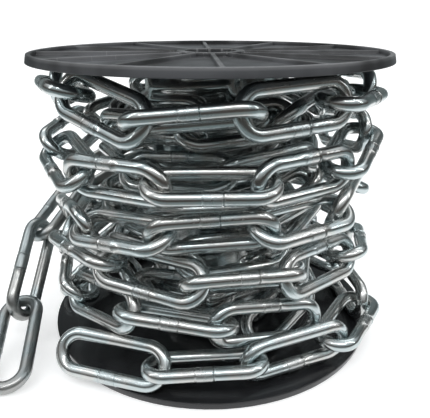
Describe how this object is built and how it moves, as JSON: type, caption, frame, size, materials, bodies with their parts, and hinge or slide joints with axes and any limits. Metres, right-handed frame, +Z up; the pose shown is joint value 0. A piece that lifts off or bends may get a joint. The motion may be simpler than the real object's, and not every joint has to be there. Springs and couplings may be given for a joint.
{
  "type": "reel of steel chain",
  "caption": "Zinc-plated long-link steel chain wound in layers on a black plastic reel that stands on its lower flange, with a loose end that lies on the floor.",
  "frame": {"origin": "centre of the reel's lower flange, on the floor that the reel stands on", "axes": "+Z up along the reel's axis, -Y towards the viewer of the picture, the loose end of the chain at -X"},
  "size_m": [0.147, 0.1301, 0.1076],
  "materials": {
    "black_plastic": "moulded black plastic, half glossy, scuffed on the upper face",
    "zinc_steel": "bright zinc plating with light scuffs and a weld mark on each link",
    "inner_steel": "bright zinc plating in the shade of the outer turns"
  },
  "bodies": {
    "root": {"barrel": "black_plastic", "bottom_turn_01": "zinc_steel", "bottom_turn_02": "zinc_steel", "bottom_turn_03": "zinc_steel", "bottom_turn_04": "zinc_steel", "inner_chain": "inner_steel", "loose_end_link_1": "zinc_steel", "loose_end_link_2": "zinc_steel", "loose_end_link_3": "zinc_steel", "loose_end_link_4": "zinc_steel", "lower_flange": "black_plastic", "lower_turns_01": "zinc_steel", "lower_turns_02": "zinc_steel", "lower_turns_03": "zinc_steel", "lower_turns_04": "zinc_steel", "lower_turns_05": "zinc_steel", "lower_turns_06": "zinc_steel", "lower_turns_07": "zinc_steel", "lower_turns_08": "zinc_steel", "lower_turns_09": "zinc_steel", "upper_flange": "black_plastic", "upper_turns_01": "zinc_steel", "upper_turns_02": "zinc_steel", "upper_turns_03": "zinc_steel", "upper_turns_04": "zinc_steel", "upper_turns_05": "zinc_steel", "upper_turns_06": "zinc_steel", "upper_turns_07": "zinc_steel"}
  },
  "joints": []
}
